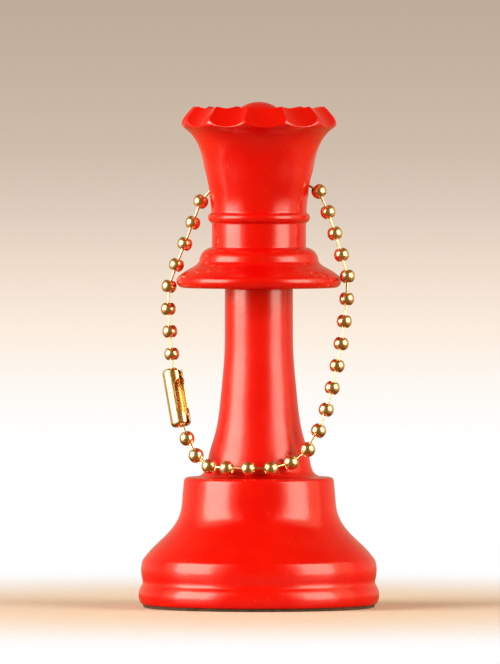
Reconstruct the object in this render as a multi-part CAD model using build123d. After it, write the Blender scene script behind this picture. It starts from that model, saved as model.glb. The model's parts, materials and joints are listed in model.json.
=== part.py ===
from build123d import *
import os
from math import cos, radians, sin, sqrt

# Chess queen key chain: a weighted plastic queen with a brass ball chain through its head.
# Units are millimetres. Z is up, the origin is the middle of the felt's underside, and the
# front of the piece faces -Y.

# Queen
FELT_THICKNESS = 0.5
FELT_RADIUS = 18.4
FOOT_Z = FELT_THICKNESS
SEAM_Z = 50.6
STEM_TOP_RADIUS = 5.39
CROWN_TOP_Z = 79.5
BRIM_RADIUS = 13.06
DOME_RADIUS = 5.06
DOME_CENTRE_Z = 75.0
BOWL_FLOOR_Z = 77.0

# Glued joint between the two mouldings
SPIGOT_RADIUS = 3.9
SPIGOT_HEIGHT = 7.0
GLUE_GAP = 0.05

# Hollow of the lower moulding, with the weight and the closing disc in it
DISC_RADIUS = 16.5
DISC_THICKNESS = 1.5
WEIGHT_FOOT_RADIUS = 15.0
WEIGHT_FOOT_HEIGHT = 4.8
WEIGHT_TOP_RADIUS = 10.4
WEIGHT_HEIGHT = 11.4
WEIGHT_CHAMFER = 0.6
WEIGHT_GAP = 0.15
STEM_CORE_RADIUS = 3.0
STEM_CORE_TOP_Z = 46.0

# Scallops of the crown
SCALLOPS = 12
SCALLOP_RADIUS = 7.5
SCALLOP_LENGTH = 16.0
FIRST_SCALLOP_DEG = 5.0
SCALLOP_OUTER = (12.1, 76.05)
SCALLOP_INNER = (9.82, 78.9)

# Hole through the head
BORE_RADIUS = 1.8
BORE_Z = 67.2
BORE_LENGTH = 40.0
BORE_TURN_DEG = -2.0
MOUTH_START = 8.0
MOUTH_LENGTH = 1.0

# Ball chain, size 3
BALL_RADIUS = 1.2
BALL_WALL = 0.12
BALL_HOLE_RADIUS = 0.62
PIN_RADIUS = 0.2
PIN_HEAD_RADIUS = 0.68
PIN_REACH = 2.8
PITCH = 3.58

# Connector
CONNECTOR_LENGTH = 9.3
CONNECTOR_RADIUS = 1.6
CONNECTOR_WALL = 0.25
CONNECTOR_END_HOLE = 0.95
CONNECTOR_END_ROUND = 0.55
CONNECTOR_SLOT = 0.8
CONNECTOR_WINDOW_WIDTH = 2.4
CONNECTOR_WINDOW_LENGTH = 5.8
CONNECTOR_BALL_INSET = 1.2
CONNECTOR_SLOT_TURN_DEG = 50.0

# Where the chain hangs, from the connector's two ends up to the two mouths of the hole.
# Each route is drawn through these points, and the balls are stepped off along it.
LEFT_ROUTE = [
    (-13.6, 0.45, 36.55),
    (-13.8, 0.5, 40.1),
    (-14.35, 0.5, 47.3),
    (-14.25, 0.45, 50.7),
    (-13.1, 0.5, 54.1),
    (-10.45, 0.65, 60.9),
    (-9.2, 0.75, 64.25),
]
RIGHT_ROUTE = [
    (-12.4, -0.9, 29.7),
    (-11.2, -2.6, 26.4),
    (-9.7, -4.6, 23.9),
    (-7.7, -6.9, 22.5),
    (-5.1, -9.0, 22.3),
    (-1.8, -10.1, 22.3),
    (1.7, -9.9, 22.3),
    (4.9, -8.5, 23.1),
    (7.7, -7.1, 25.2),
    (9.4, -6.0, 28.1),
    (11.6, -5.0, 35.0),
    (13.0, -4.2, 42.0),
    (13.9, -3.4, 49.2),
    (13.95, -3.1, 52.7),
    (13.0, -2.4, 56.0),
    (10.9, -1.4, 62.65),
    (9.55, -0.9, 65.75),
]
LEFT_BALLS = 9
RIGHT_BALLS = 21
BORE_BALLS = [(-6.8, -0.2), (-3.5, 0.3), (-0.1, 0.25), (3.35, 0.1), (6.75, 0.3)]

# The balls in each row of the hanging loop, counted from the mouths of the hole. The loop
# folds about the line through the first ball of each side.
ROWS = [([n], [n]) for n in range(1, 9)]
ROWS += [([9], [9, 10, 11]), ([], [12, 21]), ([], [13, 20]), ([], [14, 15, 16, 17, 18, 19])]


def turned(edges):
    """The solid of revolution about Z that a closed outline encloses."""
    return revolve(make_face(Wire(edges)), axis=Axis.Z)


def upright(points):
    """Radius and height pairs as points of the XZ plane."""
    return [Vector(r, 0, z) for r, z in points]


def line(*points):
    return Polyline(*upright(points)).edges()


def smooth(*points):
    return Spline(*upright(points)).edges()


def arc(*points):
    return ThreePointArc(*upright(points)).edges()


def queen_body():
    """Base and stem in one hollow moulding, with the spigot that the head is glued on."""
    spigot_top = SEAM_Z + SPIGOT_HEIGHT
    outline = [
        *line((0, FOOT_Z), (18.55, FOOT_Z), (18.8, FOOT_Z + 0.3)),
        *arc((18.8, FOOT_Z + 0.3), (19.05, 1.75), (18.78, 3.15)),
        *line((18.78, 3.15), (18.42, 3.75), (18.42, 4.35)),
        *arc((18.42, 4.35), (18.66, 6.0), (18.42, 7.5)),
        *smooth((18.42, 7.5), (17.4, 8.8), (15.5, 10.7), (13.7, 12.6), (12.45, 15.0),
                (12.1, 17.65), (11.9, 19.85)),
        *arc((11.9, 19.85), (11.72, 20.42), (11.1, 20.62)),
        *line((11.1, 20.62), (9.55, 20.77)),
        *smooth((9.55, 20.77), (8.77, 21.3), (8.37, 22.05), (7.98, 23.9), (7.04, 27.15),
                (5.98, 34.1), (5.46, 40.4), (STEM_TOP_RADIUS, 44.5)),
        *line((STEM_TOP_RADIUS, 44.5), (STEM_TOP_RADIUS, SEAM_Z), (SPIGOT_RADIUS, SEAM_Z),
              (SPIGOT_RADIUS, spigot_top - 0.5), (SPIGOT_RADIUS - 0.5, spigot_top),
              (0, spigot_top), (0, FOOT_Z)),
    ]
    disc_top = FOOT_Z + DISC_THICKNESS
    foot_top = disc_top + WEIGHT_FOOT_HEIGHT + WEIGHT_GAP
    weight_top = disc_top + WEIGHT_HEIGHT + WEIGHT_GAP
    seat = DISC_RADIUS + GLUE_GAP
    foot = WEIGHT_FOOT_RADIUS + WEIGHT_GAP
    top = WEIGHT_TOP_RADIUS + WEIGHT_GAP
    hollow = line(
        (0, FOOT_Z), (seat, FOOT_Z), (seat, disc_top), (foot, disc_top), (foot, foot_top),
        (top, foot_top), (top, weight_top), (STEM_CORE_RADIUS + 0.6, weight_top),
        (STEM_CORE_RADIUS, STEM_CORE_TOP_Z), (0, STEM_CORE_TOP_Z), (0, FOOT_Z),
    )
    return turned(outline) - turned(hollow)


def scallop():
    """One cutter for the crown, a cylinder that leans inwards over the rim."""
    outer = Vector(SCALLOP_OUTER[0], 0, SCALLOP_OUTER[1])
    inner = Vector(SCALLOP_INNER[0], 0, SCALLOP_INNER[1])
    along = (inner - outer).normalized()
    outwards = Vector(along.Z, 0, -along.X)
    centre = outer + outwards * SCALLOP_RADIUS
    return Plane(origin=centre, z_dir=along) * Cylinder(SCALLOP_RADIUS, SCALLOP_LENGTH)


def bore_plane():
    """The middle of the hole through the head, with its local Z along the hole."""
    turn = radians(BORE_TURN_DEG)
    return Plane(origin=(0, 0, BORE_Z), x_dir=(0, 0, 1), z_dir=(cos(turn), sin(turn), 0))


def queen_head():
    """Brim, neck and crown in one moulding, drilled across for the chain."""
    socket_radius = SPIGOT_RADIUS + GLUE_GAP
    socket_top = SEAM_Z + SPIGOT_HEIGHT + 0.3
    bowl_dome_radius = sqrt(DOME_RADIUS**2 - (BOWL_FLOOR_Z - DOME_CENTRE_Z) ** 2)
    lean = radians(45)
    outline = [
        *line((0, socket_top), (socket_radius, socket_top), (socket_radius, SEAM_Z),
              (11.9, SEAM_Z)),
        *arc((11.9, SEAM_Z), (12.78, 50.95), (BRIM_RADIUS, 51.75)),
        *arc((BRIM_RADIUS, 51.75), (12.98, 52.1), (12.75, 52.42)),
        *smooth((12.75, 52.42), (12.15, 52.9), (10.94, 53.66), (9.75, 54.42), (9.43, 54.85)),
        *arc((9.43, 54.85), (8.8, 56.37), (7.46, 57.0)),
        *line((7.46, 57.0), (7.46, 60.9)),
        *arc((7.46, 60.9), (8.1, 61.7), (7.55, 62.5)),
        *smooth((7.55, 62.5), (7.72, 64.6), (8.34, 67.7), (8.9, 70.8), (9.74, 73.4),
                (11.09, 75.3), (12.4, 76.3)),
        *line((12.4, 76.3), (12.47, 76.85), (12.2, 77.75), (11.32, 79.07)),
        *arc((11.32, 79.07), (10.65, CROWN_TOP_Z), (10.0, 79.2)),
        *smooth((10.0, 79.2), (8.9, 78.0), (7.4, 77.2), (6.0, BOWL_FLOOR_Z)),
        *line((6.0, BOWL_FLOOR_Z), (bowl_dome_radius, BOWL_FLOOR_Z)),
        *arc((bowl_dome_radius, BOWL_FLOOR_Z),
             (DOME_RADIUS * sin(lean), DOME_CENTRE_Z + DOME_RADIUS * cos(lean)),
             (0, DOME_CENTRE_Z + DOME_RADIUS)),
        *line((0, DOME_CENTRE_Z + DOME_RADIUS), (0, socket_top)),
    ]
    head = turned(outline)
    for n in range(SCALLOPS):
        angle = FIRST_SCALLOP_DEG + n * 360 / SCALLOPS - 90
        head -= Rot(0, 0, angle) * scallop()
    head -= bore_plane() * Cylinder(BORE_RADIUS, BORE_LENGTH)
    for side in (-1, 1):
        head -= mouth(side)
    return head


def mouth(side):
    """The cone that opens the hole where it leaves the head."""
    cone = Cone(BORE_RADIUS, BORE_RADIUS + MOUTH_LENGTH, MOUTH_LENGTH)
    cone = Pos(0, 0, MOUTH_START + MOUTH_LENGTH / 2) * cone
    flip = Rot(0, 0, 0) if side > 0 else Rot(180, 0, 0)
    return bore_plane() * (flip * cone)


def standing(radius, height):
    """A cylinder that stands on the XY plane."""
    return Pos(0, 0, height / 2) * Cylinder(radius, height)


def base_weight():
    """Stepped steel slug that fills the hollow of the base."""
    weight = standing(WEIGHT_FOOT_RADIUS, WEIGHT_FOOT_HEIGHT)
    weight += standing(WEIGHT_TOP_RADIUS, WEIGHT_HEIGHT)
    weight = chamfer(weight.edges().group_by(Axis.Z)[-1], WEIGHT_CHAMFER)
    return Pos(0, 0, FOOT_Z + DISC_THICKNESS) * weight


def closing_disc():
    return Pos(0, 0, FOOT_Z) * standing(DISC_RADIUS, DISC_THICKNESS)


def felt_pad():
    return standing(FELT_RADIUS, FELT_THICKNESS)


def stepped_off(points, count):
    """The places of balls set a pitch apart along the smooth line through the points."""
    route = Spline(*[Vector(*p) for p in points])
    places, at = [route @ 0], 0.0
    for _ in range(count - 1):
        low, high = at, min(at + 2 * PITCH / route.length, 1.15)
        for _ in range(40):
            middle = (low + high) / 2
            if (route_point(route, middle) - places[-1]).length < PITCH:
                low = middle
            else:
                high = middle
        at = low
        places.append(route_point(route, at))
    return places


def route_point(route, at):
    """A point of the route, which goes straight on past its end."""
    if at <= 1:
        return route @ at
    return route @ 1 + (route % 1) * ((at - 1) * route.length)


def chain_places():
    """{ball name: centre} for the whole chain, from one end of the string to the other."""
    left = stepped_off(LEFT_ROUTE, LEFT_BALLS)
    along = (Vector(*RIGHT_ROUTE[0]) - left[0]).normalized()
    low_end = left[0] + along * (CONNECTOR_LENGTH - 2 * CONNECTOR_BALL_INSET)
    right = stepped_off([tuple(low_end), *RIGHT_ROUTE[1:]], RIGHT_BALLS)
    places = {f"ball_left_{LEFT_BALLS - n:02d}": p for n, p in enumerate(left)}
    plane = bore_plane()
    for n, (across, up) in enumerate(BORE_BALLS, 1):
        places[f"ball_bore_{n:02d}"] = plane.from_local_coords(Vector(up, 0, across))
    for n, p in reversed(list(enumerate(right))):
        places[f"ball_right_{RIGHT_BALLS - n:02d}"] = p
    return places


def chain_ball(centre, axis):
    """A hollow ball with a hole at each end."""
    shell = Sphere(BALL_RADIUS) - Sphere(BALL_RADIUS - BALL_WALL)
    shell -= Cylinder(BALL_HOLE_RADIUS, 3 * BALL_RADIUS)
    return Plane(origin=centre, z_dir=axis) * shell


def chain_pin(start, end):
    """A wire with a round-shouldered head on each end, between the centres of two balls."""
    gap = end - start
    foot = (gap.length - PIN_REACH) / 2
    shoulder = sqrt(PIN_HEAD_RADIUS**2 - PIN_RADIUS**2)
    slope = PIN_HEAD_RADIUS / sqrt(2)
    top = foot + PIN_REACH
    outline = [
        *line((0, foot), (PIN_HEAD_RADIUS, foot)),
        *arc((PIN_HEAD_RADIUS, foot), (slope, foot + slope), (PIN_RADIUS, foot + shoulder)),
        *line((PIN_RADIUS, foot + shoulder), (PIN_RADIUS, top - shoulder)),
        *arc((PIN_RADIUS, top - shoulder), (slope, top - slope), (PIN_HEAD_RADIUS, top)),
        *line((PIN_HEAD_RADIUS, top), (0, top), (0, foot)),
    ]
    return Plane(origin=start, z_dir=gap.normalized()) * turned(outline)


def connector(top_ball, low_ball):
    """Stamped sleeve with a slot, a window for the ball and a hole in each rounded end."""
    width = 2 * CONNECTOR_RADIUS
    side = Pos(CONNECTOR_RADIUS, 0, 0)
    outside = Cylinder(CONNECTOR_RADIUS, CONNECTOR_LENGTH)
    outside = fillet(outside.edges().filter_by(GeomType.CIRCLE), CONNECTOR_END_ROUND)
    inside = Cylinder(CONNECTOR_RADIUS - CONNECTOR_WALL, CONNECTOR_LENGTH - 2 * CONNECTOR_WALL)
    inner_round = CONNECTOR_END_ROUND - CONNECTOR_WALL
    inside = fillet(inside.edges().filter_by(GeomType.CIRCLE), inner_round)
    sleeve = outside - inside
    sleeve -= Cylinder(CONNECTOR_END_HOLE, 2 * CONNECTOR_LENGTH)
    sleeve -= side * Box(width, CONNECTOR_SLOT, 2 * CONNECTOR_LENGTH)
    straight = CONNECTOR_WINDOW_LENGTH - CONNECTOR_WINDOW_WIDTH
    sleeve -= side * Box(width, CONNECTOR_WINDOW_WIDTH, straight)
    for end in (-straight / 2, straight / 2):
        place = Pos(CONNECTOR_RADIUS, 0, end) * Rot(0, 90, 0)
        sleeve -= place * Cylinder(CONNECTOR_WINDOW_WIDTH / 2, width)
    along = (low_ball - top_ball).normalized()
    turn = radians(CONNECTOR_SLOT_TURN_DEG)
    front = Vector(sin(turn), -cos(turn), 0)
    middle = (top_ball + low_ball) / 2
    across = front - along * front.dot(along)
    return Plane(origin=middle, x_dir=across.normalized(), z_dir=along) * sleeve


def ball_axis(names, places, n):
    """The direction halfway between a ball's two pins."""
    before = places[names[max(n - 1, 0)]]
    after = places[names[min(n + 1, len(names) - 1)]]
    here = places[names[n]]
    into = (here - before).normalized() if n else Vector(0, 0, 0)
    out = (after - here).normalized() if n < len(names) - 1 else Vector(0, 0, 0)
    return (into + out).normalized()


def row_names(row):
    left, right = ROWS[row]
    return [f"ball_left_{n:02d}" for n in left] + [f"ball_right_{n:02d}" for n in right]


def owner(name):
    """0 for the chain in the hole, or the number of the loop's row that a ball is in."""
    for row in range(len(ROWS)):
        if name in row_names(row):
            return row + 1
    return 0


def chain():
    """{node: shape} for every ball, and the pins that each moving row of the loop carries."""
    places = chain_places()
    names = list(places)
    nodes, pins = {}, {}
    for n, name in enumerate(names):
        nodes[name] = chain_ball(places[name], ball_axis(names, places, n))
    for a, b in zip(names, names[1:]):
        pins.setdefault(min(owner(a), owner(b)), []).append(chain_pin(places[a], places[b]))
    for row, group in sorted(pins.items()):
        where = f"row_{row:02d}" if row else "bore"
        nodes[f"pins_{where}"] = Compound(children=[p.solid() for p in group])
    nodes["connector"] = connector(places[names[0]], places[names[-1]])
    return nodes


def main():
    os.makedirs("parts", exist_ok=True)
    nodes = {
        "queen_body": queen_body(),
        "queen_head": queen_head(),
        "base_weight": base_weight(),
        "closing_disc": closing_disc(),
        "felt_pad": felt_pad(),
        **chain(),
    }
    for name, shape in nodes.items():
        export_step(shape, f"parts/{name}.step")


main()
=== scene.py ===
import json
import math

import bmesh
import bpy
import numpy as np
from mathutils import Matrix, Vector, noise

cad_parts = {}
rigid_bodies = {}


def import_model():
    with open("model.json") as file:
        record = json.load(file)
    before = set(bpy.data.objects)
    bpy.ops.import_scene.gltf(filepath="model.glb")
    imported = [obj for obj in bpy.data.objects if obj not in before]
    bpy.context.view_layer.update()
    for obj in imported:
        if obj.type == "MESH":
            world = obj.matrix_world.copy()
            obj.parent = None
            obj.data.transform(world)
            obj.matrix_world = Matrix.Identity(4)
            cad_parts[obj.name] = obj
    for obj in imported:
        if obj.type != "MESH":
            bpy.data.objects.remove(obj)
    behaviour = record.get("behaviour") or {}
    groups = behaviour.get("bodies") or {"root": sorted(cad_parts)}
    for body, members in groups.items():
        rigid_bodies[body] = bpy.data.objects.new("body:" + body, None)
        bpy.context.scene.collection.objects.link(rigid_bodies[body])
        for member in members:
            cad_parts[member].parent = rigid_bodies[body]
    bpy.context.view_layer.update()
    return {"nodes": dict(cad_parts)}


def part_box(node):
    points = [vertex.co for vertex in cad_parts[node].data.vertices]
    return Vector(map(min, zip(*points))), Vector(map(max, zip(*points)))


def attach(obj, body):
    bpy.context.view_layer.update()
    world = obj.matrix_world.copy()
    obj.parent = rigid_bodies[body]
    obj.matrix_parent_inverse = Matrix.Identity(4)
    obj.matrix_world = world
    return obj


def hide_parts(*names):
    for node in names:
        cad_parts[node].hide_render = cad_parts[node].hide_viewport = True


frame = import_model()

MM = 0.001
NODES = frame["nodes"]

# ---------------------------------------------------------------- the chain's order
LEFT = [f"ball_left_{n:02d}" for n in range(9, 0, -1)]
BORE = [f"ball_bore_{n:02d}" for n in range(1, 6)]
RIGHT = [f"ball_right_{n:02d}" for n in range(1, 22)]
CHAIN = LEFT + BORE + RIGHT
ROWS = {n: [f"ball_left_{n:02d}", f"ball_right_{n:02d}"] for n in range(1, 10)}
ROWS[9] += ["ball_right_10", "ball_right_11"]
ROWS[10] = ["ball_right_12", "ball_right_21"]
ROWS[11] = ["ball_right_13", "ball_right_20"]
ROWS[12] = [f"ball_right_{n:02d}" for n in range(14, 20)]

# ---------------------------------------------------------------- sizes, in millimetres
SEAM_Z = 50.6
BORE_Z = 67.2
BORE_RADIUS = 1.8
BORE_TURN = math.radians(-2.0)
MOUTH_START = 7.0
MOUTH_REACH = 14.0
HEAD_COLUMNS = 600
BODY_COLUMNS = 400
SCALLOPS = 12
SCALLOP_RADIUS = 7.5
RIM_SOFTNESS = 0.10
SCALLOP_OUTER = Vector((12.1, 0, 76.05))
SCALLOP_INNER = Vector((9.82, 0, 78.9))
FIRST_SCALLOP = math.radians(5.0 - 90.0)
BALL_RADIUS = 1.2
BALL_WALL = 0.12
BALL_HOLE = 0.62
BALL_COLUMNS = 44
PIN_RADIUS = 0.2
PIN_HEAD = 0.62
PIN_REACH = 1.4
CONNECTOR_LENGTH = 9.3
CONNECTOR_RADIUS = 1.6
CONNECTOR_WALL = 0.25
CONNECTOR_HOLE = 0.95
CONNECTOR_END_ROUND = 0.5
SLOT_HALF_WIDTH = 0.4
SLOT_BLEND = 0.12
WINDOW_WIDTH = 2.4
WINDOW_LENGTH = 5.8
SLOT_TURN = math.radians(50.0)


# ---------------------------------------------------------------- outlines
def line(*points):
    return [Vector(p) for p in points]


def arc(a, b, c, steps=14):
    """Points of the circle through a, b and c, from a to c."""
    a, b, c = Vector(a), Vector(b), Vector(c)
    d = 2 * (a.x * (b.y - c.y) + b.x * (c.y - a.y) + c.x * (a.y - b.y))
    ux = (a.dot(a) * (b.y - c.y) + b.dot(b) * (c.y - a.y) + c.dot(c) * (a.y - b.y)) / d
    uy = (a.dot(a) * (c.x - b.x) + b.dot(b) * (a.x - c.x) + c.dot(c) * (b.x - a.x)) / d
    centre = Vector((ux, uy))
    start = math.atan2(a.y - uy, a.x - ux)
    through = (math.atan2(b.y - uy, b.x - ux) - start) % math.tau
    end = (math.atan2(c.y - uy, c.x - ux) - start) % math.tau
    if through > end:
        end -= math.tau
    radius = (a - centre).length
    angles = [start + end * k / steps for k in range(steps + 1)]
    return [centre + Vector((math.cos(t), math.sin(t))) * radius for t in angles]


def smooth(*points, steps=16):
    """A natural cubic spline through the points."""
    p = np.array(points, float)
    h = np.linalg.norm(np.diff(p, axis=0), axis=1)
    n = len(p)
    m = np.zeros((n, n))
    rhs = np.zeros((n, 2))
    m[0, 0] = m[-1, -1] = 1
    for i in range(1, n - 1):
        m[i, i - 1], m[i, i], m[i, i + 1] = h[i - 1], 2 * (h[i - 1] + h[i]), h[i]
        rhs[i] = 6 * ((p[i + 1] - p[i]) / h[i] - (p[i] - p[i - 1]) / h[i - 1])
    k = np.linalg.solve(m, rhs)
    out = []
    for i in range(n - 1):
        for t in np.linspace(0, h[i], steps, endpoint=False):
            s = h[i] - t
            q = (k[i] * s**3 + k[i + 1] * t**3) / (6 * h[i])
            q = q + (p[i] / h[i] - k[i] * h[i] / 6) * s
            q = q + (p[i + 1] / h[i] - k[i + 1] * h[i] / 6) * t
            out.append(Vector(q))
    return out + [Vector(points[-1])]


def resampled(points, step):
    """The outline at even steps."""
    p = np.array([tuple(q) for q in points])
    keep = np.r_[True, np.linalg.norm(np.diff(p, axis=0), axis=1) > 1e-6]
    p = p[keep]
    at = np.r_[0, np.cumsum(np.linalg.norm(np.diff(p, axis=0), axis=1))]
    count = max(2, int(round(at[-1] / step)) + 1)
    s = np.linspace(0, at[-1], count)
    return np.c_[np.interp(s, at, p[:, 0]), np.interp(s, at, p[:, 1])]


def softened(points, step, spread):
    """The outline at even steps, with every corner rounded over about the spread."""
    p = resampled(points, step)
    reach = max(1, int(3 * spread / step))
    weights = np.exp(-0.5 * (np.arange(-reach, reach + 1) * step / spread) ** 2)
    weights /= weights.sum()
    padded = np.r_[2 * p[:1] - p[reach:0:-1], p, 2 * p[-1:] - p[-2 : -reach - 2 : -1]]
    out = np.c_[[np.convolve(padded[:, k], weights, "valid") for k in (0, 1)]].T
    out[0], out[-1] = p[0], p[-1]
    return out


# ---------------------------------------------------------------- meshes
def new_object(name, verts, faces, material, angle=40.0):
    """A mesh object from points in millimetres."""
    mesh = bpy.data.meshes.new(name)
    mesh.from_pydata([tuple(c * MM for c in v) for v in verts], [], faces)
    mesh.validate()
    obj = bpy.data.objects.new(name, mesh)
    bpy.context.scene.collection.objects.link(obj)
    obj.data.materials.append(material)
    shade(obj, angle)
    return obj


def shade(obj, angle):
    obj.data.shade_smooth()
    if angle < 180:
        obj.data.set_sharp_from_angle(angle=math.radians(angle))


def lathe(outline, count):
    """Points and faces of the outline turned about Z. An end on the axis closes there."""
    verts, faces, rings = [], [], []
    for r, z in outline:
        if r < 1e-5:
            rings.append([len(verts)])
            verts.append((0.0, 0.0, z))
            continue
        rings.append(list(range(len(verts), len(verts) + count)))
        for k in range(count):
            t = math.tau * k / count
            verts.append((r * math.cos(t), r * math.sin(t), z))
    for a, b in zip(rings, rings[1:]):
        for k in range(count):
            j = (k + 1) % count
            ring = [a[k % len(a)], b[k % len(b)], b[j % len(b)], a[j % len(a)]]
            face = list(dict.fromkeys(ring))
            if len(face) > 2:
                faces.append(face)
    return verts, faces


def placed(verts, origin, axis, side=None):
    """The points moved so that their Z lies along the axis."""
    axis = axis.normalized()
    if side is None:
        turn = axis.to_track_quat("Z", "Y").to_matrix()
    else:
        side = (side - axis * side.dot(axis)).normalized()
        turn = Matrix((side, axis.cross(side), axis)).transposed()
    return [turn @ Vector(v) + origin for v in verts]


def stands_for(obj, node):
    """Puts a finished mesh in the place of a CAD node."""
    body = NODES[node].parent.name.removeprefix("body:")
    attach(obj, body)
    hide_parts(node)
    return obj


def apply_modifiers(obj):
    graph = bpy.context.evaluated_depsgraph_get()
    mesh = bpy.data.meshes.new_from_object(obj.evaluated_get(graph))
    obj.modifiers.clear()
    obj.data = mesh


# ---------------------------------------------------------------- materials
def srgb(r, g, b):
    """A linear colour from 0-255 screen values."""
    def linear(c):
        c /= 255
        return c / 12.92 if c <= 0.04045 else ((c + 0.055) / 1.055) ** 2.4

    return (linear(r), linear(g), linear(b), 1.0)


class Nodes:
    """Short calls that add nodes to one material or world."""

    def __init__(self, owner):
        owner.use_nodes = True
        self.tree = owner.node_tree
        self.tree.nodes.clear()

    def add(self, kind, inputs=None, **settings):
        node = self.tree.nodes.new(kind)
        for key, value in settings.items():
            setattr(node, key, value)
        for key, value in (inputs or {}).items():
            socket = node.inputs[key]
            if isinstance(value, bpy.types.NodeSocket):
                self.tree.links.new(value, socket)
            else:
                socket.default_value = value
        return node

    def object_space(self):
        return self.add("ShaderNodeTexCoord").outputs["Object"]

    def noise(self, vector, scale, detail=3.0, roughness=0.5):
        inputs = {"Vector": vector, "Scale": scale, "Detail": detail, "Roughness": roughness}
        return self.add("ShaderNodeTexNoise", inputs).outputs["Fac"]

    def remap(self, value, low, high, to_low=0.0, to_high=1.0, smooth_step=True):
        kind = "SMOOTHSTEP" if smooth_step else "LINEAR"
        inputs = {"Value": value, "From Min": low, "From Max": high,
                  "To Min": to_low, "To Max": to_high}
        return self.add("ShaderNodeMapRange", inputs, interpolation_type=kind).outputs["Result"]

    def maths(self, operation, a, b=0.0):
        return self.add("ShaderNodeMath", {0: a, 1: b}, operation=operation).outputs[0]

    def blend(self, factor, a, b):
        inputs = {"Factor": factor, "A": a, "B": b}
        node = self.add("ShaderNodeMix", data_type="RGBA")
        for key, index in (("Factor", 0), ("A", 6), ("B", 7)):
            value = inputs[key]
            if isinstance(value, bpy.types.NodeSocket):
                self.tree.links.new(value, node.inputs[index])
            else:
                node.inputs[index].default_value = value
        return node.outputs[2]

    def bump(self, height, distance, normal=None):
        inputs = {"Height": height, "Strength": 1.0, "Distance": distance}
        if normal is not None:
            inputs["Normal"] = normal
        return self.add("ShaderNodeBump", inputs).outputs["Normal"]

    def surface(self, shader):
        self.add("ShaderNodeOutputMaterial", {"Surface": shader})


def red_plastic():
    """Polished moulded plastic, with faint mottling, fine scuffs and a few specks of dust."""
    material = bpy.data.materials.new("red_plastic")
    n = Nodes(material)
    at = n.object_space()
    cloud = n.noise(at, 160.0, 3.0, 0.55)
    grain = n.noise(at, 900.0, 4.0, 0.6)
    stretched = n.add("ShaderNodeMapping", {"Vector": at, "Scale": (1.0, 1.0, 0.45)}).outputs[0]
    scuff = n.remap(n.noise(stretched, 1500.0, 5.0, 0.65), 0.60, 0.74)
    cells = n.add("ShaderNodeTexVoronoi", {"Vector": at, "Scale": 420.0, "Randomness": 1.0})
    near = n.remap(cells.outputs["Distance"], 0.05, 0.11, 1.0, 0.0)
    chosen = n.remap(n.add("ShaderNodeSeparateColor", {"Color": cells.outputs["Color"]}).outputs[0],
                     0.93, 0.95)
    speck = n.maths("MULTIPLY", near, chosen)
    deep, bright = (0.57, 0.0006, 0.0, 1.0), (0.61, 0.0020, 0.0, 1.0)
    colour = n.blend(n.remap(cloud, 0.35, 0.65), deep, bright)
    colour = n.blend(n.maths("MULTIPLY", speck, 0.35), colour, (1.0, 0.16, 0.08, 1.0))
    rough = n.remap(cloud, 0.30, 0.70, 0.20, 0.25)
    rough = n.maths("ADD", rough, n.maths("MULTIPLY", scuff, 0.10))
    axes = n.add("ShaderNodeSeparateXYZ", {"Vector": at}).outputs
    height = axes["Z"]
    stem = n.maths("MULTIPLY", n.remap(height, 0.019, 0.025), n.remap(height, 0.051, 0.045))
    rough = n.maths("ADD", rough, n.maths("MULTIPLY", stem, 0.07))
    beside = n.maths("SUBTRACT", axes["Y"], n.maths("MULTIPLY", axes["X"], math.tan(BORE_TURN)))
    above = n.maths("SUBTRACT", height, BORE_Z * MM)
    square = n.maths("ADD", n.maths("MULTIPLY", beside, beside), n.maths("MULTIPLY", above, above))
    drilled = n.remap(n.maths("SQRT", square), 0.0024, 0.0020)
    rough = n.maths("ADD", rough, n.maths("MULTIPLY", drilled, 0.45))
    normal = n.bump(cloud, 0.00010)
    normal = n.bump(grain, 0.000010, normal)
    normal = n.bump(speck, 0.00003, normal)
    shader = n.add("ShaderNodeBsdfPrincipled", {
        "Base Color": colour, "Roughness": rough, "Normal": normal,
        "IOR": 1.50, "Coat Weight": 0.15, "Coat Roughness": 0.16, "Coat IOR": 1.5,
    })
    n.surface(shader.outputs[0])
    return material


def brass():
    """Brass-plated steel, bright, lightly tarnished in patches that fall at random."""
    material = bpy.data.materials.new("brass")
    n = Nodes(material)
    at = n.object_space()
    cloud = n.noise(at, 500.0, 4.0, 0.6)
    drawn = n.noise(at, 3500.0, 3.0, 0.6)
    colour = n.blend(n.remap(cloud, 0.30, 0.72), (0.84, 0.66, 0.33, 1.0), (0.95, 0.81, 0.50, 1.0))
    rough = n.remap(drawn, 0.30, 0.70, 0.20, 0.29)
    normal = n.bump(drawn, 0.000006)
    normal = n.bump(cloud, 0.000020, normal)
    shader = n.add("ShaderNodeBsdfPrincipled", {
        "Base Color": colour, "Metallic": 1.0, "Roughness": rough, "Normal": normal,
    })
    n.surface(shader.outputs[0])
    return material


def turned_steel():
    material = bpy.data.materials.new("steel")
    n = Nodes(material)
    at = n.object_space()
    rings = n.add("ShaderNodeTexWave", {"Vector": at, "Scale": 900.0, "Distortion": 1.5,
                                        "Detail": 3.0}, wave_type="RINGS", rings_direction="Z")
    cloud = n.noise(at, 300.0, 4.0)
    colour = n.blend(cloud, (0.30, 0.30, 0.31, 1.0), (0.50, 0.49, 0.48, 1.0))
    rough = n.remap(cloud, 0.3, 0.7, 0.32, 0.48)
    normal = n.bump(rings.outputs["Fac"], 0.00001)
    shader = n.add("ShaderNodeBsdfPrincipled", {
        "Base Color": colour, "Metallic": 1.0, "Roughness": rough, "Normal": normal,
    })
    n.surface(shader.outputs[0])
    return material


def backing_board():
    material = bpy.data.materials.new("backing")
    n = Nodes(material)
    at = n.object_space()
    fibre = n.noise(at, 1200.0, 5.0, 0.7)
    colour = n.blend(fibre, (0.006, 0.005, 0.004, 1.0), (0.022, 0.019, 0.016, 1.0))
    shader = n.add("ShaderNodeBsdfPrincipled", {
        "Base Color": colour, "Roughness": n.remap(fibre, 0.2, 0.8, 0.55, 0.8),
        "Normal": n.bump(fibre, 0.00004),
    })
    n.surface(shader.outputs[0])
    return material


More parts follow.
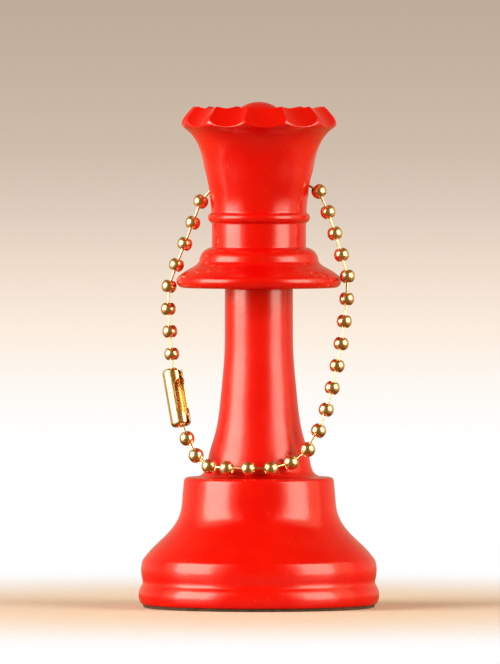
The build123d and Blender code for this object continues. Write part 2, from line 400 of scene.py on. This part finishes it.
def felt():
    """Dark brown pressed wool."""
    material = bpy.data.materials.new("felt")
    n = Nodes(material)
    at = n.object_space()
    squashed = n.add("ShaderNodeMapping", {"Vector": at, "Scale": (1.0, 1.0, 2.5)}).outputs[0]
    clump = n.noise(squashed, 700.0, 4.0, 0.7)
    fibre = n.noise(squashed, 4200.0, 4.0, 0.75)
    dark, light = (0.030, 0.016, 0.010, 1.0), (0.090, 0.055, 0.035, 1.0)
    colour = n.blend(n.remap(clump, 0.3, 0.7), dark, light)
    normal = n.bump(clump, 0.00010)
    normal = n.bump(fibre, 0.00005, normal)
    shader = n.add("ShaderNodeBsdfPrincipled", {
        "Base Color": colour, "Roughness": 0.95, "Normal": normal,
        "Sheen Weight": 0.4, "Sheen Roughness": 0.5, "Sheen Tint": (0.50, 0.28, 0.14, 1.0),
    })
    n.surface(shader.outputs[0])
    return material


def pale_floor(name, dark, light, roughness, solid, edge, front=None):
    """A plain surface that fades out some way from the object, or ends at a front edge."""
    material = bpy.data.materials.new(name)
    n = Nodes(material)
    at = n.object_space()
    colour = n.blend(n.noise(at, 60.0, 3.0), dark, light)
    shader = n.add("ShaderNodeBsdfPrincipled", {"Base Color": colour, "Roughness": roughness})
    length = n.add("ShaderNodeVectorMath", {0: at}, operation="LENGTH").outputs["Value"]
    clear = n.add("ShaderNodeBsdfTransparent")
    fade = n.remap(length, solid, edge)
    if front is not None:
        depth = n.add("ShaderNodeSeparateXYZ", {"Vector": at}).outputs["Y"]
        fade = n.maths("MAXIMUM", fade, n.remap(depth, front + 0.006, front - 0.006))
    mix = n.add("ShaderNodeMixShader", {0: fade, 1: shader.outputs[0], 2: clear.outputs[0]})
    n.surface(mix.outputs[0])
    return material


RED, BRASS, STEEL = red_plastic(), brass(), turned_steel()
BACKING, FELT = backing_board(), felt()


# ---------------------------------------------------------------- the queen
def body_outline():
    return [
        *line((0, 57.6), (3.4, 57.6), (3.9, 57.1), (3.9, SEAM_Z), (5.39, SEAM_Z)),
        *line((5.39, 44.5)),
        *smooth((5.39, 44.5), (5.46, 40.4), (5.98, 34.1), (7.04, 27.15), (7.98, 23.9),
                (8.37, 22.05), (8.77, 21.3), (9.55, 20.77)),
        *line((9.55, 20.77), (11.1, 20.62)),
        *arc((11.1, 20.62), (11.72, 20.42), (11.9, 19.85)),
        *smooth((11.9, 19.85), (12.1, 17.65), (12.45, 15.0), (13.7, 12.6), (15.5, 10.7),
                (17.4, 8.8), (18.42, 7.5)),
        *arc((18.42, 7.5), (18.66, 6.0), (18.42, 4.35)),
        *line((18.42, 4.35), (18.42, 3.75), (18.78, 3.15)),
        *arc((18.78, 3.15), (19.05, 1.75), (18.8, 0.8)),
        *line((18.8, 0.8), (18.55, 0.5), (16.55, 0.5)),
        *line((16.55, 2.0), (15.15, 2.0), (15.15, 6.95), (10.55, 6.95), (10.55, 13.55)),
        *line((3.6, 13.55), (3.0, 46.0), (0, 46.0)),
    ]


def head_outline():
    return [
        *line((0, 57.9), (3.95, 57.9), (3.95, SEAM_Z), (11.9, SEAM_Z)),
        *arc((11.9, SEAM_Z), (12.78, 50.95), (13.06, 51.75)),
        *arc((13.06, 51.75), (12.98, 52.1), (12.75, 52.42)),
        *smooth((12.75, 52.42), (12.15, 52.9), (10.94, 53.66), (9.75, 54.42), (9.43, 54.85)),
        *arc((9.43, 54.85), (8.8, 56.37), (7.46, 57.0)),
        *line((7.46, 57.0), (7.46, 60.9)),
        *arc((7.46, 60.9), (8.1, 61.7), (7.55, 62.5)),
        *smooth((7.55, 62.5), (7.72, 64.6), (8.34, 67.7), (8.9, 70.8), (9.74, 73.4),
                (11.09, 75.3), (12.4, 76.3)),
        *line((12.4, 76.3), (12.47, 76.85), (12.2, 77.75), (11.32, 79.07)),
        *arc((11.32, 79.07), (10.65, 79.5), (10.0, 79.2)),
        *smooth((10.0, 79.2), (8.9, 78.0), (7.4, 77.2), (6.0, 77.0)),
        *line((6.0, 77.0), (4.65, 77.0)),
        *arc((4.65, 77.0), (3.578, 78.578), (0.0, 80.06), steps=24),
    ]


def scalloped(verts):
    """Pushes the crown's rim in where the twelve leaning scallops cut it."""
    along = (SCALLOP_INNER - SCALLOP_OUTER).normalized()
    centre = SCALLOP_OUTER + Vector((along.z, 0, -along.x)) * SCALLOP_RADIUS
    step = math.tau / SCALLOPS
    out = []
    for v in verts:
        p = Vector(v)
        r = math.hypot(p.x, p.y)
        if p.z < 75.0 or r < 8.0:
            out.append(p)
            continue
        turn = FIRST_SCALLOP + step * round((math.atan2(p.y, p.x) - FIRST_SCALLOP) / step)
        spin = Matrix.Rotation(turn, 3, "Z")
        q = spin.transposed() @ p
        off = q - centre
        off -= along * off.dot(along)
        inside = (SCALLOP_RADIUS - off.length) / RIM_SOFTNESS
        push = RIM_SOFTNESS * (inside if inside > 20 else math.log1p(math.exp(inside)))
        out.append(spin @ (q + off.normalized() * push))
    return out


def smoothed_crown(verts, count, passes=22):
    """Rounds the crests between the scallops. The first and last points lie on the axis."""
    grid = np.array(verts[1:-1]).reshape(-1, count, 3)
    radius = np.hypot(grid[..., 0], grid[..., 1])
    mask = np.clip((grid[..., 2] - 75.2) / 0.6, 0, 1) * np.clip((radius - 8.2) / 0.6, 0, 1) * 0.5
    mask[:1] = mask[-1:] = 0
    for _ in range(passes):
        near = np.roll(grid, 1, 1) + np.roll(grid, -1, 1)
        near = near + np.roll(grid, 1, 0) + np.roll(grid, -1, 0)
        grid += mask[..., None] * (near / 4 - grid)
    return [verts[0], *[Vector(v) for v in grid.reshape(-1, 3)], verts[-1]]


def hole_cutter():
    """The hole across the head, opening like a trumpet at each mouth."""
    half = [(BORE_RADIUS, 0.0), (BORE_RADIUS, MOUTH_START)]
    half += [tuple(p) for p in arc((BORE_RADIUS, MOUTH_START), (1.86, 7.6), (2.1, 8.2))]
    half += [(2.8, 9.1), (2.8, MOUTH_REACH), (0.0, MOUTH_REACH)]
    outline = [(r, -z) for r, z in reversed(half)] + half
    verts, faces = lathe(resampled([Vector(p) for p in outline], 0.2), 96)
    across = Vector((math.cos(BORE_TURN), math.sin(BORE_TURN), 0))
    cutter = new_object("cutter", placed(verts, Vector((0, 0, BORE_Z)), across), faces, RED)
    return cutter


def outward(obj):
    mesh = bmesh.new()
    mesh.from_mesh(obj.data)
    bmesh.ops.recalc_face_normals(mesh, faces=mesh.faces)
    mesh.to_mesh(obj.data)
    mesh.free()


def make_queen_head():
    verts, faces = lathe(softened(head_outline(), 0.12, 0.10), HEAD_COLUMNS)
    verts = smoothed_crown(scalloped(verts), HEAD_COLUMNS)
    head = new_object("queen_head_moulded", verts, faces, RED, 180)
    cutter = hole_cutter()
    outward(head)
    outward(cutter)
    cut = head.modifiers.new("hole", "BOOLEAN")
    cut.object, cut.solver, cut.operation = cutter, "EXACT", "DIFFERENCE"
    apply_modifiers(head)
    bpy.data.objects.remove(cutter)
    shade(head, 30)
    return stands_for(head, "queen_head")


def make_queen_body():
    verts, faces = lathe(softened(body_outline(), 0.15, 0.11), BODY_COLUMNS)
    body = new_object("queen_body_moulded", verts, faces, RED, 180)
    outward(body)
    return stands_for(body, "queen_body")


def make_felt():
    outline = [(0, 0.0), (17.9, 0.0), (18.25, 0.06), (18.38, 0.25), (18.25, 0.45),
               (17.9, 0.5), (0, 0.5)]
    verts, faces = lathe(resampled([Vector(p) for p in outline], 0.12), 360)
    fuzzy = []
    for v in verts:
        p = Vector(v)
        r = math.hypot(p.x, p.y)
        if r > 17.5:
            shift = 0.05 * noise.noise(p * 3.0) + 0.03 * noise.noise(p * 9.0)
            p.x, p.y = p.x * (1 + shift / r), p.y * (1 + shift / r)
        fuzzy.append(p)
    pad = new_object("felt_pad_pressed", fuzzy, faces, FELT, 180)
    outward(pad)
    return stands_for(pad, "felt_pad")


# ---------------------------------------------------------------- the chain
def centre_of(node):
    low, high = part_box(node)
    return (low + high) / 2 / MM


PLACES = {name: centre_of(name) for name in CHAIN}


def row_of(name):
    """0 for the balls in the hole, or the row of the loop that a ball is in."""
    return next((n for n, names in ROWS.items() if name in names), 0)


def directions(index):
    here = PLACES[CHAIN[index]]
    into = (here - PLACES[CHAIN[index - 1]]).normalized() if index else Vector()
    last = index == len(CHAIN) - 1
    out = Vector() if last else (PLACES[CHAIN[index + 1]] - here).normalized()
    return into, out


def ball_outline():
    """The outer and the inner side of a hollow ball's wall, between its two holes."""
    inner = BALL_RADIUS - BALL_WALL
    lip = 0.5 * BALL_WALL
    middle = BALL_RADIUS - lip
    edge = math.asin((BALL_HOLE + lip) / middle)
    outside = [(BALL_RADIUS * math.sin(t), BALL_RADIUS * math.cos(t))
               for t in np.linspace(edge, math.pi - edge, 33)]
    inside = [(inner * math.sin(t), inner * math.cos(t))
              for t in np.linspace(math.pi - edge, edge, 21)]
    return outside + inside


def make_ball(index):
    """A ball of the chain: two walls joined by a rounded lip at each hole."""
    loop = ball_outline()
    count = BALL_COLUMNS
    verts, faces = [], []
    for r, z in loop:
        for k in range(count):
            t = math.tau * k / count
            verts.append((r * math.cos(t), r * math.sin(t), z))
    rings = len(loop)
    for a in range(rings):
        b = (a + 1) % rings
        for k in range(count):
            j = (k + 1) % count
            faces.append((a * count + k, b * count + k, b * count + j, a * count + j))
    name = CHAIN[index]
    into, out = directions(index)
    ball = new_object(name + "_drawn", placed(verts, PLACES[name], into + out), faces, BRASS, 180)
    outward(ball)
    lip = ball.modifiers.new("lip", "BEVEL")
    lip.limit_method, lip.angle_limit = "ANGLE", math.radians(50)
    lip.width, lip.segments = 0.045 * MM, 3
    apply_modifiers(ball)
    shade(ball, 60)
    return stands_for(ball, name)


def pin_outline():
    """Half of a pin: a wire with a round head on each end, inside the balls."""
    rise = math.sqrt(PIN_HEAD**2 - PIN_RADIUS**2)
    shoulder = [(PIN_HEAD * math.cos(t), PIN_REACH - PIN_HEAD * math.sin(t))
                for t in np.linspace(0, math.asin(rise / PIN_HEAD), 10)]
    half = [(0.0, PIN_REACH)] + shoulder
    return half + [(r, -z) for r, z in reversed(half)]


def make_pins(row, pairs):
    verts, faces = [], []
    for a, b in pairs:
        start, end = PLACES[a], PLACES[b]
        points, quads = lathe(resampled([Vector(p) for p in pin_outline()], 0.06), 20)
        base = len(verts)
        verts += placed(points, (start + end) / 2, end - start)
        faces += [[base + i for i in quad] for quad in quads]
    node = f"pins_row_{row:02d}" if row else "pins_bore"
    pins = new_object(node + "_drawn", verts, faces, BRASS, 50)
    outward(pins)
    return stands_for(pins, node)


def slot_half_width(u):
    """Half the slot's width along the connector: narrow, with a long window in the middle."""
    past = max(0.0, abs(u) - (WINDOW_LENGTH - WINDOW_WIDTH) / 2)
    window = math.sqrt(max(0.0, (WINDOW_WIDTH / 2) ** 2 - past * past))
    k = SLOT_BLEND
    return k * math.log(math.exp(SLOT_HALF_WIDTH / k) + math.exp(window / k))


def make_connector():
    """Sheet rolled to a tube, closed in at the ends, with the slot's edges rounded."""
    half = CONNECTOR_LENGTH / 2
    r = CONNECTOR_RADIUS - CONNECTOR_WALL / 2
    low, end = CONNECTOR_WALL / 2 - half, CONNECTOR_END_ROUND
    outline = [(CONNECTOR_HOLE + 0.02, low), (r - end, low)]
    outline += [(r - end + end * math.sin(t), low + end * (1 - math.cos(t)))
                for t in np.linspace(0, math.pi / 2, 10)]
    outline += [(a, -b) for a, b in reversed(outline)]
    outline = resampled([Vector(p) for p in outline], 0.09)
    columns = 96
    verts, faces = [], []
    for radius, z in outline:
        opening = math.asin(min(0.98, slot_half_width(z) / max(radius, 0.5)))
        for k in range(columns + 1):
            t = opening + (math.tau - 2 * opening) * k / columns
            verts.append((radius * math.cos(t), radius * math.sin(t), z))
    wide = columns + 1
    for a in range(len(outline) - 1):
        for k in range(columns):
            here, there = a * wide + k, (a + 1) * wide + k
            faces.append((here, here + 1, there + 1, there))
    upper, lower = PLACES[CHAIN[0]], PLACES[CHAIN[-1]]
    front = Vector((math.sin(SLOT_TURN), -math.cos(SLOT_TURN), 0))
    points = placed(verts, (upper + lower) / 2, lower - upper, front)
    sleeve = new_object("connector_stamped", points, faces, BRASS, 180)
    thick = sleeve.modifiers.new("sheet", "SOLIDIFY")
    thick.thickness, thick.offset = CONNECTOR_WALL * MM, 0.0
    thick.use_even_offset = True
    edge = sleeve.modifiers.new("edge", "BEVEL")
    edge.limit_method, edge.angle_limit = "ANGLE", math.radians(60)
    edge.width, edge.segments = 0.08 * MM, 3
    apply_modifiers(sleeve)
    outward(sleeve)
    shade(sleeve, 60)
    return stands_for(sleeve, "connector")


def make_chain():
    groups = {}
    for index in range(len(CHAIN)):
        make_ball(index)
    for a, b in zip(CHAIN, CHAIN[1:]):
        groups.setdefault(min(row_of(a), row_of(b)), []).append((a, b))
    for row, pairs in groups.items():
        make_pins(row, pairs)
    make_connector()


make_queen_head()
make_queen_body()
make_felt()
make_chain()

for node, material in (("base_weight", STEEL), ("closing_disc", BACKING)):
    NODES[node].data.materials.clear()
    NODES[node].data.materials.append(material)


# ---------------------------------------------------------------- floor, light, camera
def make_floor():
    """A wide pale floor, and the near part of it that the gloss mirrors."""
    wide = pale_floor("floor_wide", (0.82, 0.79, 0.75, 1.0), (0.85, 0.82, 0.78, 1.0), 0.6,
                      0.03, 0.15)
    near = pale_floor("floor_near", (0.50, 0.30, 0.12, 1.0), (0.52, 0.31, 0.13, 1.0), 0.34,
                      0.30, 0.60, front=-0.034)
    verts, faces = lathe([(0, 0), (60, 0), (200, 0), (600, 0)], 96)
    floor = new_object("floor", verts, faces, wide, 180)
    floor.visible_glossy = False
    mirrored = new_object("floor_mirrored", verts, faces, near, 180)
    mirrored.visible_camera = mirrored.visible_diffuse = mirrored.visible_shadow = False


def make_world():
    """A pale backdrop for the camera. The gloss mirrors a bright wall behind and a dim room."""
    world = bpy.data.worlds.new("studio")
    bpy.context.scene.world = world
    n = Nodes(world)
    direction = n.add("ShaderNodeTexCoord").outputs["Generated"]
    axes = n.add("ShaderNodeSeparateXYZ", {"Vector": direction})
    height = n.remap(axes.outputs["Z"], -0.0290, 0.0052, smooth_step=False)
    ramp = n.add("ShaderNodeValToRGB", {"Fac": height})
    stops = [
        (0.00, (255, 255, 255)), (0.14, (254, 248, 240)), (0.24, (253, 238, 223)),
        (0.38, (241, 223, 206)), (0.52, (222, 205, 188)), (0.66, (208, 190, 173)),
        (0.84, (198, 180, 163)), (1.00, (191, 172, 155)),
    ]
    while len(ramp.color_ramp.elements) < len(stops):
        ramp.color_ramp.elements.new(0.5)
    for element, (place, colour) in zip(ramp.color_ramp.elements, stops):
        element.position = place
        element.color = srgb(*colour)
    wall = n.add("ShaderNodeBackground", {"Color": ramp.outputs["Color"], "Strength": 1.0})
    behind = n.remap(axes.outputs["Y"], 0.10, 0.55, 0.0, 0.8)
    above = n.remap(axes.outputs["Z"], 0.0, 0.7, 1.0, 0.3)
    glow = n.maths("MULTIPLY", behind, above)
    colour = n.blend(glow, (0.24, 0.11, 0.028, 1.0), (0.70, 0.54, 0.38, 1.0))
    room = n.add("ShaderNodeBackground", {"Color": colour, "Strength": 1.0})
    ray = n.add("ShaderNodeLightPath").outputs["Is Camera Ray"]
    mix = n.add("ShaderNodeMixShader", {0: ray, 1: room.outputs[0], 2: wall.outputs[0]})
    n.add("ShaderNodeOutputWorld", {"Surface": mix.outputs[0]})


def softbox(name, azimuth, elevation, distance, width, height, power, colour):
    """A soft light aimed at the queen. Azimuth 0 is in front, and it grows to the right."""
    a, e = math.radians(azimuth), math.radians(elevation)
    target = Vector((0, 0, 0.042))
    back = Vector((math.sin(a) * math.cos(e), -math.cos(a) * math.cos(e), math.sin(e)))
    data = bpy.data.lights.new(name, "AREA")
    data.shape, data.size, data.size_y = "RECTANGLE", width, height
    data.energy, data.color = power, colour
    light = bpy.data.objects.new(name, data)
    bpy.context.scene.collection.objects.link(light)
    light.location = target + back * distance
    light.rotation_mode = "QUATERNION"
    light.rotation_quaternion = (-back).to_track_quat("-Z", "Y")
    light.visible_camera = False
    return light


def make_camera():
    data = bpy.data.cameras.new("camera")
    data.lens, data.sensor_width = 685.0, 36.0
    camera = bpy.data.objects.new("camera", data)
    bpy.context.scene.collection.objects.link(camera)
    camera.location = (-0.00141, -2.0, 0.085)
    aim = Vector((-0.00141, 0.0, 0.0436)) - camera.location
    camera.rotation_mode = "QUATERNION"
    camera.rotation_quaternion = aim.to_track_quat("-Z", "Y")
    bpy.context.scene.camera = camera


make_floor()
make_world()
softbox("left_box", -68, 15, 0.8, 0.62, 0.60, 9.6, (1.0, 0.90, 0.76))
softbox("left_fill", -70, 18, 0.9, 1.30, 1.00, 4.5, (1.0, 0.70, 0.40))
softbox("right_box", 61, 15, 0.8, 0.50, 0.60, 5.6, (1.0, 0.90, 0.76))
softbox("right_fill", 70, 18, 0.9, 1.30, 1.00, 5.5, (1.0, 0.70, 0.40))
make_camera()

scene = bpy.context.scene
scene.view_settings.view_transform = "Standard"
scene.view_settings.look = "None"
